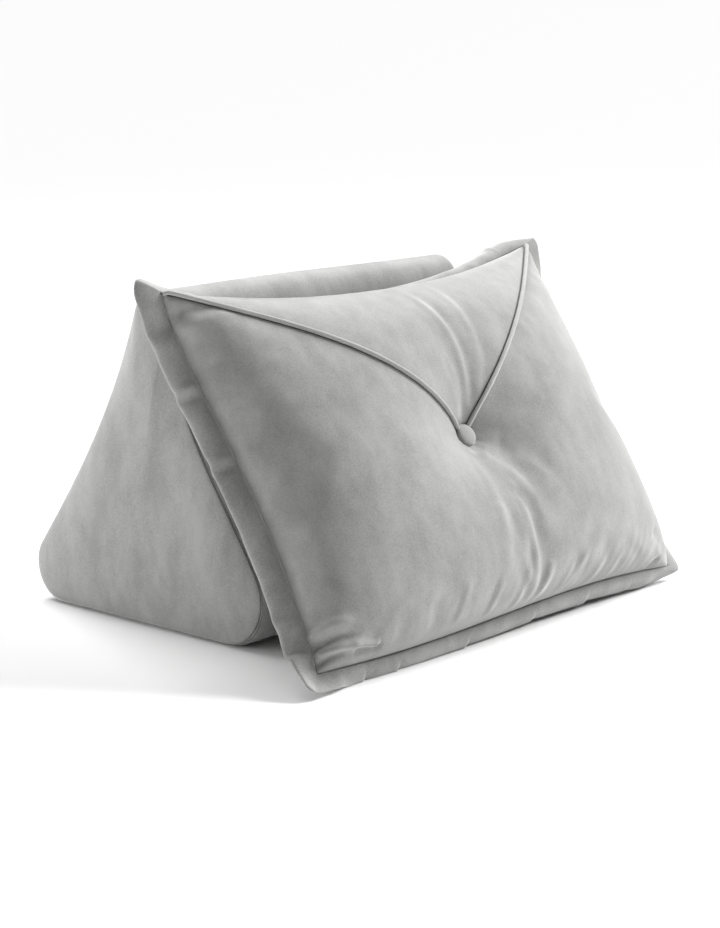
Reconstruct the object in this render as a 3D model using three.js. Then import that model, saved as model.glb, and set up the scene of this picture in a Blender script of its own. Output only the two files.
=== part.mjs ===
// A back support cushion: a filled wedge that stands on its base, and a pillow with a flat sewn
// border that leans on the wedge's front. Millimetres, +Z up, the pillow faces -Y.
import * as THREE from 'three';
import { mergeVertices } from 'three/addons/utils/BufferGeometryUtils.js';

// Pillow
const PILLOW_WIDTH = 550;         // between the corners of the border seam
const PILLOW_HEIGHT = 386;        // between the corners of the border seam
const SIDE_DRAW_IN = 17;          // how far filling pulls each side seam in
const TOP_DRAW_IN = 29;
const BOTTOM_DRAW_IN = 1.5;
const BOTTOM_SEAM_WAVE = 4.5;     // the bottom seam dips at the left and lifts at the right
const FRONT_CROWN = 91;           // height of the filled front over the seam plane
const BACK_CROWN = 92;            // the same at the back, before it is pressed on the wedge
const CROWN_SQUARENESS = 2.48;
const CROWN_FULLNESS = 0.413;
const SEAM_THICKNESS = 3;
const TOP_CORNERS_FORWARD = 19;   // the top corners curl towards the front
const BOTTOM_CORNERS_BACK = 4.6;
const PILLOW_LEAN = 34.5;         // degrees back from upright
const PILLOW_CENTRE_Y = -168;
const PILLOW_CENTRE_Z = 180;

// Flat border round the pillow
const BORDER_WIDTH = 25;
const BORDER_THICKNESS = 3;
const BORDER_RIPPLE = 1.5;
const BORDER_TIP = 0.8;           // the corners are a little rounded
const CORNER_REACH = 30;          // stretch of each side that belongs to the corner

// Degrees that the border turns back from the seam plane, at both ends and the middle of each
// side. A high spread keeps the end's turn close to its corner. Below zero it turns forward.
const BORDER_TURNS = {
  bottom: { low: -34, middle: 62, high: 12, lowSpread: 5, highSpread: 12 },
  top: { low: 16, middle: 85, high: 12, lowSpread: 6, highSpread: 4.2 },
  left: { low: 0, middle: 32, high: 6, lowSpread: 8, highSpread: 10 },
  right: { low: 8, middle: 32, high: -14, lowSpread: 3, highSpread: 4 },
};

// Places where the low and high border is tucked narrower: on the seam from the pillow's middle,
// the share of the width that is lost, and how far that reaches.
const NARROWED = [
  { u: -245, v: -193, share: 0.3, reach: 22 },
  { u: 275, v: -193, share: 0.62, reach: 32 },
  { u: 275, v: 193, share: 0.55, reach: 20 },
];

// Tuft and button
const BUTTON_DIAMETER = 23;
const BUTTON_HEIGHT = 7;
const BUTTON_V = -18;             // up the pillow from its middle
const TUFT_FLOOR = 44;            // height of the tuft's floor over the seam plane
const TUFT_FLOOR_RADIUS = 14;
const TUFT_RADIUS = 60;
const TUFT_POWER = 1.07;

// Piping of the V seam
const PIPING_DIAMETER = 5;
const PIPING_BOW = 0.036;         // share of the half width by which each line bows
const PIPING_STEPS = 30;
const PIPING_SIDES = 8;

// Wedge
const WEDGE_LENGTH = 439;
const WEDGE_HEIGHT = 339.5;
const FRONT_FOOT = { y: -99.3, radius: 49.5 };
const BACK_FOOT = { y: 144.5, radius: 39 };
const RIDGE_RADIUS = 26.8;
const BACK_FLARE = 9.3;           // degrees that the tangents turn at the ends of the back
const FRONT_FLARE_TOP = 21.4;
const FRONT_FLARE_FOOT = 10.2;
const SIDE_HANDLE = 0.35;
const EDGE_ROLL = 7;              // the wrap rounds over towards the end seams
const END_SEAM_INSET = 2;
const END_THICKNESS = 3;
const END_DOME = 9;

const GAP = 0.3;                  // clearance between touching pieces

// Folds of the pillow's front: rows of points (u across, v up), depth and half width.
// A negative depth is a ridge.
const FRONT_FOLDS = [
  { points: [[-1, -38], [-10, -90], [-16, -142]], depth: 6, width: 11 },
  { points: [[3, -90], [13, -130], [10, -182]], depth: -5, width: 9 },
  { points: [[22, -62], [33, -105], [16, -180]], depth: 7, width: 12 },
  { points: [[14, -24], [45, -44], [70, -68]], depth: 4, width: 11 },
  { points: [[3, 14], [10, 70], [22, 142]], depth: 4, width: 10 },
  { points: [[14, 10], [32, 70], [44, 146]], depth: 4, width: 10 },
  { points: [[-60, -160], [-56, -176], [-54, -192]], depth: 4, width: 11 },
  { points: [[92, -158], [76, -176], [62, -192]], depth: 4, width: 11 },
  { points: [[-196, -120], [-225, -150], [-262, -180]], depth: 6, width: 14 },
];

// Mesh detail
const PILLOW_COLUMNS = 42;
const PILLOW_ROWS = 30;
const TUFT_DENSITY = 0.5;         // share by which the grid closes up round the tuft
const TUFT_DENSITY_REACH = 0.3;
const EDGE_DENSITY = 0.25;        // and towards the border
const WEDGE_ALONG = 22;
const END_RINGS = 8;

const HALF_WIDTH = PILLOW_WIDTH / 2;
const HALF_HEIGHT = PILLOW_HEIGHT / 2;

function velvet(colour) {
  return new THREE.MeshStandardMaterial({ color: colour, roughness: 0.9, metalness: 0 });
}

const VELVET = '#a7a6a5';
const PIPING_VELVET = '#9f9e9d';

function degrees(angle) {
  return THREE.MathUtils.degToRad(angle);
}

// Merges the seams of a geometry and turns its faces outwards.
function closedSolid(geometry) {
  geometry.deleteAttribute('normal');
  geometry.deleteAttribute('uv');
  const solid = mergeVertices(geometry, 1e-3);
  const place = solid.attributes.position;
  const index = solid.index.array;
  const corner = [0, 1, 2].map(() => new THREE.Vector3());
  let volume = 0;
  for (let i = 0; i < index.length; i += 3) {
    corner.forEach((point, k) => point.fromBufferAttribute(place, index[i + k]));
    volume += corner[0].dot(corner[1].clone().cross(corner[2]));
  }
  if (volume < 0) {
    for (let i = 0; i < index.length; i += 3) {
      [index[i], index[i + 1]] = [index[i + 1], index[i]];
    }
  }
  solid.computeVertexNormals();
  return solid;
}

function namedMesh(name, geometry, colour) {
  const mesh = new THREE.Mesh(closedSolid(geometry), velvet(colour));
  mesh.name = name;
  return mesh;
}

// Smooth lesser of two lengths.
function softMin(a, b, blend) {
  const share = Math.max(blend - Math.abs(a - b), 0) / blend;
  return Math.min(a, b) - share * share * blend / 4;
}

// Section of the wedge, as [y, z] points seen from +X, anticlockwise from under the back foot.
function arcPoints(centre, radius, from, to, steps) {
  return Array.from({ length: steps + 1 }, (_, i) => {
    const angle = degrees(from + (to - from) * i / steps);
    return new THREE.Vector2(centre.x + radius * Math.cos(angle), centre.y + radius * Math.sin(angle));
  });
}

function sidePoints(start, startAngle, end, endAngle, steps) {
  const reach = SIDE_HANDLE * start.distanceTo(end);
  const handle = (angle) => new THREE.Vector2(Math.cos(degrees(angle)), Math.sin(degrees(angle)));
  const curve = new THREE.CubicBezierCurve(
    start,
    start.clone().addScaledVector(handle(startAngle), reach),
    end.clone().addScaledVector(handle(endAngle), -reach),
    end,
  );
  return curve.getPoints(steps).slice(1, -1);
}

function wedgeSection() {
  const front = new THREE.Vector2(FRONT_FOOT.y, FRONT_FOOT.radius);
  const back = new THREE.Vector2(BACK_FOOT.y, BACK_FOOT.radius);
  const ridge = new THREE.Vector2(0, WEDGE_HEIGHT - RIDGE_RADIUS);
  const upBack = THREE.MathUtils.radToDeg(ridge.clone().sub(back).angle());
  const downFront = THREE.MathUtils.radToDeg(front.clone().sub(ridge).angle());
  const backFoot = arcPoints(back, BACK_FOOT.radius, -90, upBack + BACK_FLARE - 90, 12);
  const ridgeArc = arcPoints(
    ridge, RIDGE_RADIUS, upBack - BACK_FLARE - 90, downFront + FRONT_FLARE_TOP - 90, 9);
  const frontFoot = arcPoints(
    front, FRONT_FOOT.radius, downFront - FRONT_FLARE_FOOT - 90, 270, 12);
  const backSide = sidePoints(
    backFoot.at(-1), upBack + BACK_FLARE, ridgeArc[0], upBack - BACK_FLARE, 13);
  const frontSide = sidePoints(
    ridgeArc.at(-1), downFront + FRONT_FLARE_TOP, frontFoot[0], downFront - FRONT_FLARE_FOOT, 13);
  return [...backFoot, ...backSide, ...ridgeArc, ...frontSide, ...frontFoot];
}

const SECTION = wedgeSection();

const SECTION_MIDDLE = new THREE.Vector2(10, 130);

// A point of the section, pulled in by an inset.
function insetPoint(i, inset) {
  const before = SECTION.at((i - 1) % SECTION.length);
  const after = SECTION.at((i + 1) % SECTION.length);
  const along = after.clone().sub(before).normalize();
  return SECTION[i].clone().add(new THREE.Vector2(-along.y, along.x).multiplyScalar(inset));
}

// Sphere grid whose vertices are placed by (column, row).
function mappedSphere(columns, rows, place) {
  const geometry = new THREE.SphereGeometry(1, columns, rows);
  const position = geometry.attributes.position;
  for (let row = 0; row <= rows; row += 1) {
    for (let column = 0; column <= columns; column += 1) {
      const at = place(column % columns, row);
      position.setXYZ(row * (columns + 1) + column, at.x, at.y, at.z);
    }
  }
  return geometry;
}

// Wrap of the wedge: flat ends inside the seams, a rolled edge, and the long sides.
function wedgeBody() {
  const half = WEDGE_LENGTH / 2 - END_THICKNESS - GAP;
  const flatRows = 3;
  const rollRows = 5;
  return mappedSphere(SECTION.length, WEDGE_ALONG, (column, row) => {
    const side = row < WEDGE_ALONG / 2 ? -1 : 1;
    const fromEnd = Math.min(row, WEDGE_ALONG - row);
    if (fromEnd <= flatRows) {
      const rim = insetPoint(column, END_SEAM_INSET);
      const at = SECTION_MIDDLE.clone().lerp(rim, fromEnd / flatRows);
      return new THREE.Vector3(side * half, at.x, at.y);
    }
    const roll = Math.min((fromEnd - flatRows) / rollRows, 1);
    const inset = END_SEAM_INSET * (1 - Math.sin(roll * Math.PI / 2));
    const inward = EDGE_ROLL * (1 - Math.cos(roll * Math.PI / 2));
    const middleRows = WEDGE_ALONG / 2 - flatRows - rollRows;
    const share = Math.max(fromEnd - flatRows - rollRows, 0) / middleRows;
    const at = insetPoint(column, inset);
    const x = (half - inward) * (1 - share);
    return new THREE.Vector3(side * x, at.x, Math.max(at.y, 0));
  });
}

// Shaped end panel, slightly domed by the filling.
function wedgeEnd(side) {
  const half = WEDGE_LENGTH / 2;
  return mappedSphere(SECTION.length, END_RINGS, (column, row) => {
    const outer = row <= END_RINGS / 2;
    const share = outer ? row / (END_RINGS / 2) : (END_RINGS - row) / (END_RINGS / 2);
    const rim = insetPoint(column, END_SEAM_INSET);
    const at = SECTION_MIDDLE.clone().lerp(rim, share * (outer ? 1 : 0.999));
    const dome = outer ? END_DOME * (1 - share ** 4) - 1.5 * share ** 4 : -END_THICKNESS;
    return new THREE.Vector3(side * (half + dome), at.x, at.y);
  });
}

// Pillow frame: u across, v up the seam plane, w out of its front.
const LEAN = degrees(PILLOW_LEAN);
const UP_PILLOW = new THREE.Vector3(0, Math.sin(LEAN), Math.cos(LEAN));
const OUT_PILLOW = new THREE.Vector3(0, -Math.cos(LEAN), Math.sin(LEAN));
const PILLOW_CENTRE = new THREE.Vector3(0, PILLOW_CENTRE_Y, PILLOW_CENTRE_Z);

function pillowPoint(u, v, w) {
  return new THREE.Vector3(u, 0, 0).add(PILLOW_CENTRE)
    .addScaledVector(UP_PILLOW, v).addScaledVector(OUT_PILLOW, w);
}

// s and t run from -1 to 1 between the side, bottom and top seams.
function seamPoint(s, t) {
  const drawIn = t > 0 ? TOP_DRAW_IN : BOTTOM_DRAW_IN;
  const wave = BOTTOM_SEAM_WAVE * Math.sin(2.7 * s) * (1 - s ** 6) * Math.max(-t, 0) ** 3;
  return {
    u: s * (HALF_WIDTH - SIDE_DRAW_IN * (1 - t * t)),
    v: t * (HALF_HEIGHT - drawIn * (1 - s * s)) + wave,
  };
}

function seamCurl(s, t) {
  const top = TOP_CORNERS_FORWARD * Math.max(t, 0) ** 4;
  const bottom = BOTTOM_CORNERS_BACK * Math.max(-t, 0) ** 4;
  return s ** 4 * (top - bottom);
}

function crown(s, t) {
  const across = 1 - Math.abs(s) ** CROWN_SQUARENESS;
  const up = 1 - Math.abs(t) ** CROWN_SQUARENESS;
  return (Math.max(across, 0) * Math.max(up, 0)) ** CROWN_FULLNESS;
}

function foldDepth(u, v) {
  let depth = 0;
  const here = new THREE.Vector2(u, v);
  for (const fold of FRONT_FOLDS) {
    const line = new THREE.QuadraticBezierCurve(...fold.points.map((p) => new THREE.Vector2(...p)));
    const steps = 12;
    let best = Infinity;
    let along = 0;
    line.getPoints(steps).forEach((point, i) => {
      const distance = point.distanceTo(here);
      if (distance < best) {
        best = distance;
        along = i / steps;
      }
    });
    depth += fold.depth * Math.sin(Math.PI * (0.12 + 0.76 * along)) * Math.exp(-((best / fold.width) ** 2));
  }
  return depth;
}

function frontHeight(s, t) {
  const { u, v } = seamPoint(s, t);
  const full = FRONT_CROWN * crown(s, t);
  const fromTuft = Math.max(Math.hypot(u, v - BUTTON_V) - TUFT_FLOOR_RADIUS, 0);
  const pull = Math.exp(-((fromTuft / TUFT_RADIUS) ** TUFT_POWER));
  const away = Math.min(fromTuft / 20, 1);
  return full - (full - TUFT_FLOOR) * pull - foldDepth(u, v) * away * Math.min(full / 60, 1);
}

// Distance behind the seam plane at which the wedge's front lies, for a height v up the pillow.
function wedgeDistance(v) {
  const start = new THREE.Vector2(
    PILLOW_CENTRE_Y + v * Math.sin(LEAN), PILLOW_CENTRE_Z + v * Math.cos(LEAN));
  const along = new THREE.Vector2(Math.cos(LEAN), -Math.sin(LEAN));
  let nearest = Infinity;
  for (let i = 0; i + 1 < SECTION.length; i += 1) {
    const edge = SECTION[i + 1].clone().sub(SECTION[i]);
    const toEdge = SECTION[i].clone().sub(start);
    const turn = along.cross(edge);
    const distance = toEdge.cross(edge) / turn;
    const share = toEdge.cross(along) / turn;
    if (share >= 0 && share <= 1 && distance > 0) {
      nearest = Math.min(nearest, distance);
    }
  }
  return nearest;
}

function backDepth(s, t) {
  const { v } = seamPoint(s, t);
  const free = BACK_CROWN * crown(s, t);
  const room = wedgeDistance(v) - GAP + seamCurl(s, t);
  return softMin(free, room, 12);
}

// Moves evenly spaced grid lines closer together at the border and round a centre.
function closeUp(value, centre) {
  const even = value + EDGE_DENSITY * value * (1 - value * value);
  const away = even - centre;
  return even - TUFT_DENSITY * away * Math.exp(-((away / TUFT_DENSITY_REACH) ** 2));
}

function pillowBody() {
  const geometry = new THREE.BoxGeometry(2, 2, 2, PILLOW_COLUMNS, PILLOW_ROWS, 1);
  const position = geometry.attributes.position;
  for (let i = 0; i < position.count; i += 1) {
    const s = closeUp(position.getX(i), 0);
    const t = closeUp(position.getY(i), BUTTON_V / HALF_HEIGHT);
    const { u, v } = seamPoint(s, t);
    const edge = SEAM_THICKNESS / 2;
    const w = position.getZ(i) > 0
      ? Math.max(frontHeight(s, t), edge)
      : -Math.max(backDepth(s, t), edge);
    const at = pillowPoint(u, v, seamCurl(s, t) + w);
    position.setXYZ(i, at.x, at.y, at.z);
  }
  return geometry;
}

// The border's inner edge follows the seam step by step: [s, t] once round, anticlockwise.
function seamWalk() {
  const walk = [];
  const across = (i) => closeUp(-1 + 2 * i / PILLOW_COLUMNS, 0);
  const up = (i) => closeUp(-1 + 2 * i / PILLOW_ROWS, BUTTON_V / HALF_HEIGHT);
  for (let i = 0; i < PILLOW_COLUMNS; i += 1) walk.push([across(i), -1]);
  for (let i = 0; i < PILLOW_ROWS; i += 1) walk.push([1, up(i)]);
  for (let i = PILLOW_COLUMNS; i > 0; i -= 1) walk.push([across(i), 1]);
  for (let i = PILLOW_ROWS; i > 0; i -= 1) walk.push([-1, up(i)]);
  return walk;
}

// How far the border reaches across and up at a seam point, and how far it turns back.
function borderReach(s, t) {
  const { u, v } = seamPoint(s, t);
  const toSide = Math.max(0, 1 - (HALF_WIDTH - Math.abs(u)) / CORNER_REACH);
  const toEnd = Math.max(0, 1 - (HALF_HEIGHT - Math.abs(v)) / CORNER_REACH);
  const turnAt = (turns, along) => {
    const end = along > 0 ? turns.high : turns.low;
    const spread = along > 0 ? turns.highSpread : turns.lowSpread;
    return turns.middle + (end - turns.middle) * Math.abs(along) ** spread;
  };
  const onSide = Math.abs(s) > 0.999;
  const onEnd = Math.abs(t) > 0.999;
  const across = onSide ? 1 : toSide ** 2;
  const up = onEnd ? 1 : toEnd ** 2;
  const round = onSide && onEnd ? BORDER_TIP : 1;
  const narrow = NARROWED.reduce((kept, at) => {
    const away = Math.hypot(u - at.u, v - at.v) / at.reach;
    return kept * (1 - at.share * Math.exp(-away * away));
  }, 1);
  const sideTurn = turnAt(s > 0 ? BORDER_TURNS.right : BORDER_TURNS.left, t);
  const endTurn = turnAt(t > 0 ? BORDER_TURNS.top : BORDER_TURNS.bottom, s);
  const fold = degrees((across * sideTurn + up * endTurn) / (across + up));
  return { across: Math.sign(s) * across * round, up: Math.sign(t) * up * round * narrow, fold };
}

function border() {
  const walk = seamWalk();
  const shares = [0, 0.45, 1];
  const rim = [...shares.map((share) => [share, 1]), ...shares.map((share) => [share, -1]).reverse()];
  const geometry = new THREE.TorusGeometry(2, 1, rim.length, walk.length);
  const position = geometry.attributes.position;
  for (let j = 0; j <= rim.length; j += 1) {
    const [share, face] = rim[j % rim.length];
    for (let i = 0; i <= walk.length; i += 1) {
      const [s, t] = walk[i % walk.length];
      const { u, v } = seamPoint(s, t);
      const reach = borderReach(s, t);
      const turn = reach.fold * Math.min(share * 1.6, 1);
      const out = GAP + BORDER_WIDTH * share * Math.cos(reach.fold * share);
      const ripple = BORDER_RIPPLE * share * Math.sin(u / 17 + v / 23) * (t < -0.99 ? 0.3 : 1);
      const drop = BORDER_WIDTH * share * Math.sin(reach.fold * share) + ripple;
      const half = BORDER_THICKNESS / 2 * face;
      const w = seamCurl(s, t) - drop + half * Math.cos(turn);
      const lift = out + half * Math.sin(turn);
      const at = pillowPoint(u + reach.across * lift, v + reach.up * lift, w);
      position.setXYZ(j * (walk.length + 1) + i, at.x, at.y, Math.max(at.z, GAP));
    }
  }
  return geometry;
}

// Height of the faceted front over the seam plane.
function facetHeight(mesh, u, v) {
  const start = pillowPoint(u, v, 3 * FRONT_CROWN);
  const ray = new THREE.Raycaster(start, OUT_PILLOW.clone().negate());
  const [hit] = ray.intersectObject(mesh);
  return hit ? 3 * FRONT_CROWN - hit.distance : SEAM_THICKNESS;
}

// One line of the V seam, from a top corner down to the button.
function piping(side, pillow) {
  const radius = PIPING_DIAMETER / 2;
  const buttonT = BUTTON_V / HALF_HEIGHT;
  const points = [];
  for (let i = 0; i <= PIPING_STEPS; i += 1) {
    const along = 0.022 + 0.978 * i / PIPING_STEPS;
    const bow = PIPING_BOW * 4 * along * (1 - along);
    const s = side * (1 - along - bow);
    const t = 1 + (buttonT - 1) * along + bow;
    const { u, v } = seamPoint(s, t);
    if (Math.hypot(u, v - BUTTON_V) < BUTTON_DIAMETER / 2 + radius + 1) {
      break;
    }
    const heights = [[0, 0], [radius, 0], [-radius, 0], [0, radius], [0, -radius]]
      .map(([du, dv]) => facetHeight(pillow, u + du, v + dv));
    points.push(pillowPoint(u, v, Math.max(...heights) + radius + GAP));
  }
  const section = new THREE.Shape();
  section.absarc(0, 0, radius, 0, 2 * Math.PI);
  return new THREE.ExtrudeGeometry(section, {
    steps: points.length - 1,
    curveSegments: PIPING_SIDES,
    extrudePath: new THREE.CatmullRomCurve3(points),
    bevelEnabled: false,
  });
}

// Covered button: a domed disc with a rounded rim, turned about its axis.
function button(pillow) {
  const radius = BUTTON_DIAMETER / 2;
  const profile = [
    [0, 0], [radius - 2, 0], [radius - 0.4, 1.2], [radius, 2.6], [radius - 0.9, 4.2],
    [radius * 0.7, 5.8], [radius * 0.38, 6.7], [0, BUTTON_HEIGHT],
  ].map(([x, y]) => new THREE.Vector2(x, y));
  const geometry = new THREE.LatheGeometry(profile, 28);
  const turn = new THREE.Quaternion().setFromUnitVectors(new THREE.Vector3(0, 1, 0), OUT_PILLOW);
  const footprint = [0, 0.3, 0.6, 0.8, 0.9].flatMap((share) => Array.from({ length: 24 }, (_, i) => {
    const angle = i * Math.PI / 12;
    const reach = radius * share;
    return facetHeight(pillow, reach * Math.cos(angle), BUTTON_V + reach * Math.sin(angle));
  }));
  const seat = pillowPoint(0, BUTTON_V, Math.max(...footprint) + GAP);
  geometry.applyQuaternion(turn);
  geometry.translate(seat.x, seat.y, seat.z);
  return geometry;
}

const group = new THREE.Group();
const pillow = namedMesh('pillow_body', pillowBody(), VELVET);
group.add(
  namedMesh('wedge_body', wedgeBody(), VELVET),
  namedMesh('wedge_end_left', wedgeEnd(-1), VELVET),
  namedMesh('wedge_end_right', wedgeEnd(1), VELVET),
  pillow,
  namedMesh('pillow_border', border(), VELVET),
  namedMesh('piping_left', piping(-1, pillow), PIPING_VELVET),
  namedMesh('piping_right', piping(1, pillow), PIPING_VELVET),
  namedMesh('tuft_button', button(pillow), VELVET),
);

// The origin is under the middle of the whole cushion.
const extent = new THREE.Box3().setFromObject(group);
group.position.set(0, -(extent.min.y + extent.max.y) / 2, -extent.min.z);

export default group;
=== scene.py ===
# %% [markdown]
# A back support cushion in light grey velvet. A filled wedge stands on its base, and a pillow
# with a flat sewn border leans on the wedge's front. The pillow has a piped V seam that runs
# down from its top corners to a covered button, which pulls the filling into a deep tuft.
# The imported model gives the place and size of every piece, and is loaded first.

import bpy
import numpy as np
from mathutils import Matrix, Vector


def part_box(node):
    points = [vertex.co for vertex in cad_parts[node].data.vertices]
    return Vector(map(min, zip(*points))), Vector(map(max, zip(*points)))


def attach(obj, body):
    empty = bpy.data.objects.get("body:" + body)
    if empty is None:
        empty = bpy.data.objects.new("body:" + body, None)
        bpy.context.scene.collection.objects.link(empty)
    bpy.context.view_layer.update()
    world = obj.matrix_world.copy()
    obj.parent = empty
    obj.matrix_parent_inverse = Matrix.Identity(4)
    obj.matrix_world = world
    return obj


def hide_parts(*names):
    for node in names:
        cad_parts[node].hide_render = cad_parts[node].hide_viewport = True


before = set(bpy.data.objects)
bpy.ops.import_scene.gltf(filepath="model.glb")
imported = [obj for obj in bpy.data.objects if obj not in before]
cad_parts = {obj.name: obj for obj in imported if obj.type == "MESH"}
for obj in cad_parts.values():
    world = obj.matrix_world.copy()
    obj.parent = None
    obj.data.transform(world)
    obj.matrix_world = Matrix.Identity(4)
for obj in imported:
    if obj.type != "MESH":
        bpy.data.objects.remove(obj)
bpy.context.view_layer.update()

# %% [markdown]
# The shapes are worked out in millimetres, as a maker would measure them, in a frame whose
# origin lies under the ridge of the wedge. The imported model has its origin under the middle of
# the whole cushion, so one offset along Y joins the two.

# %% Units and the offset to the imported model
MM = 0.001
FRONT_FOOT = (-99.3, 49.5)        # place along Y and radius of the wedge's front foot
BACK_FOOT = (144.5, 39.0)

wedge_low, wedge_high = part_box("wedge_body")
own_middle = (FRONT_FOOT[0] - FRONT_FOOT[1] + BACK_FOOT[0] + BACK_FOOT[1]) / 2
OFFSET = np.array([0.0, (wedge_low[1] + wedge_high[1]) / 2 / MM - own_middle, 0.0])
print("offset along Y, mm:", round(OFFSET[1], 2))


def to_frame(points):
    """Millimetres in the maker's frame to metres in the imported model's frame."""
    return (np.asarray(points, float) + OFFSET) * MM


# %% [markdown]
# The camera stands to the left of the pillow's face, a little above it, at about two and a half
# metres, so the perspective is mild. A long lens gives that. The framing could be done by
# aiming at an empty, but a plain position and rotation stay readable and never move.

# %% Camera
AZIMUTH = -47.8
ELEVATION = 11.5
DISTANCE = 2565.0
AIM_RIGHT = 57.8                  # where the middle of the picture lies, from the origin
AIM_UP = 131.9
LENS = 93.1
LONG_SIDE = 36.0                  # film size along the picture's long side

a, e = np.radians(AZIMUTH), np.radians(ELEVATION)
TO_CAMERA = np.array([np.sin(a) * np.cos(e), -np.cos(a) * np.cos(e), np.sin(e)])
TO_RIGHT = np.array([np.cos(a), np.sin(a), 0.0])
TO_TOP = np.cross(TO_CAMERA, TO_RIGHT)

camera = bpy.data.objects.new("camera", bpy.data.cameras.new("camera"))
bpy.context.collection.objects.link(camera)
aim = TO_RIGHT * AIM_RIGHT + TO_TOP * AIM_UP
turn = Matrix([[TO_RIGHT[i], TO_TOP[i], TO_CAMERA[i]] for i in range(3)])
camera.matrix_world = Matrix.Translation(to_frame(aim + TO_CAMERA * DISTANCE)) @ turn.to_4x4()
camera.data.lens = LENS
camera.data.sensor_width = LONG_SIDE
bpy.context.scene.camera = camera
print("camera at", [round(x, 3) for x in camera.location])

# %% [markdown]
# Colours are written as the eye meets them, as sRGB hex values, and one function turns them
# into the linear numbers that the renderer counts with. One more function adds a shader node.

# %% Colour and node helpers


def linear(colour):
    """An sRGB hex colour as linear RGBA."""
    parts = [int(colour[i:i + 2], 16) / 255 for i in (1, 3, 5)]
    return (*[p / 12.92 if p <= 0.04045 else ((p + 0.055) / 1.055) ** 2.4 for p in parts], 1.0)


def add_node(tree, kind, settings=None, inputs=None, links=None):
    """Adds a node, sets its own settings and sockets, and links sockets to other outputs."""
    node = tree.nodes.new(kind)
    for name, value in (settings or {}).items():
        setattr(node, name, value)
    for name, value in (inputs or {}).items():
        node.inputs[name].default_value = value
    for name, output in (links or {}).items():
        tree.links.new(output, node.inputs[name])
    return node


# %% [markdown]
# The cushion stands on a plain pale floor under soft studio light. A wide sun is the key: it
# comes from the camera's right and above, so the side of each fold that faces it is bright, and
# it lights the floor evenly to the horizon. A soft box at the left and behind lifts the wedge's
# end, and the pale world fills the shadows. Area lights alone would leave the far floor grey.

# %% Floor and lights
FLOOR_RADIUS = 400.0
CENTRE = Vector(to_frame((0, -60, 170)))


def place_light(name, lamp, right, top, toward, power):
    """Places a light in metres from the cushion along the camera's own directions."""
    lamp.energy = power
    light = bpy.data.objects.new(name, lamp)
    bpy.context.collection.objects.link(light)
    reach = Vector(TO_RIGHT * right + TO_TOP * top + TO_CAMERA * toward)
    light.location = CENTRE + reach
    light.rotation_mode = "QUATERNION"
    light.rotation_quaternion = reach.to_track_quat("Z", "Y")
    return lamp


def pale_floor():
    bpy.ops.mesh.primitive_circle_add(vertices=96, radius=FLOOR_RADIUS, fill_type="NGON")
    floor = bpy.context.object
    floor.name = "studio_floor"
    paper = bpy.data.materials.new("matt_white_paper")
    paper.use_nodes = True
    shader = paper.node_tree.nodes["Principled BSDF"]
    shader.inputs["Base Color"].default_value = linear("#fafafa")
    shader.inputs["Roughness"].default_value = 0.9
    shader.inputs["Specular IOR Level"].default_value = 0.1
    floor.data.materials.append(paper)
    return floor


pale_floor()
key = place_light("key_sun", bpy.data.lights.new("key_sun", "SUN"), 1.9, 1.75, -0.62, 4.8)
key.angle = np.radians(28)
left_box = place_light(
    "left_box", bpy.data.lights.new("left_box", "AREA"), -1.9, 0.02, 0.12, 22)
left_box.size = 1.1
top_box = place_light(
    "top_box", bpy.data.lights.new("top_box", "AREA"), -0.9, 2.1, -0.45, 56)
top_box.size = 1.4

world = bpy.data.worlds.new("studio")
world.use_nodes = True
world.node_tree.nodes["Background"].inputs["Color"].default_value = linear("#ffffff")
world.node_tree.nodes["Background"].inputs["Strength"].default_value = 0.13
bpy.context.scene.world = world
bpy.context.scene.view_settings.view_transform = "Standard"

# %% [markdown]
# Every piece is cut from one cloth: short-pile polyester velvet, woven with an extra set of
# threads that are cut to stand up. The nap never lies quite even, which gives soft, slightly
# drawn-out patches of lighter and darker grey. Sheen on the shader gives the bright grazing
# edge. The patches are noise at real sizes, and the pile itself, about 0.3 mm a tuft, is drawn
# at 1.5 mm because anything finer is lost at this distance.

# %% Velvet
PILE_MM = 1.5
PATCH_MM = 40.0
BRUSH_MM = 13.0
PATCH_SHARE, BRUSH_SHARE, PILE_SHARE = 0.5, 0.28, 0.46
NAP_SPAN = 0.16                   # half the span of noise between the deep and the pale grey
# Painted shade: the grey darkens within this many mm of a seam.
PAINTED_SEAM_SHADE_MM = 1.3


def noise_mm(tree, place, size_mm, detail, stretch=(1, 1, 1)):
    """Noise whose spots are about size_mm across, drawn out along an axis by stretch."""
    scaled = add_node(
        tree, "ShaderNodeMapping", inputs={"Scale": tuple(1 / s for s in stretch)},
        links={"Vector": place})
    return add_node(
        tree, "ShaderNodeTexNoise",
        inputs={"Scale": 1 / (size_mm * MM), "Detail": detail, "Roughness": 0.55},
        links={"Vector": scaled.outputs["Vector"]}).outputs["Fac"]


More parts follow.
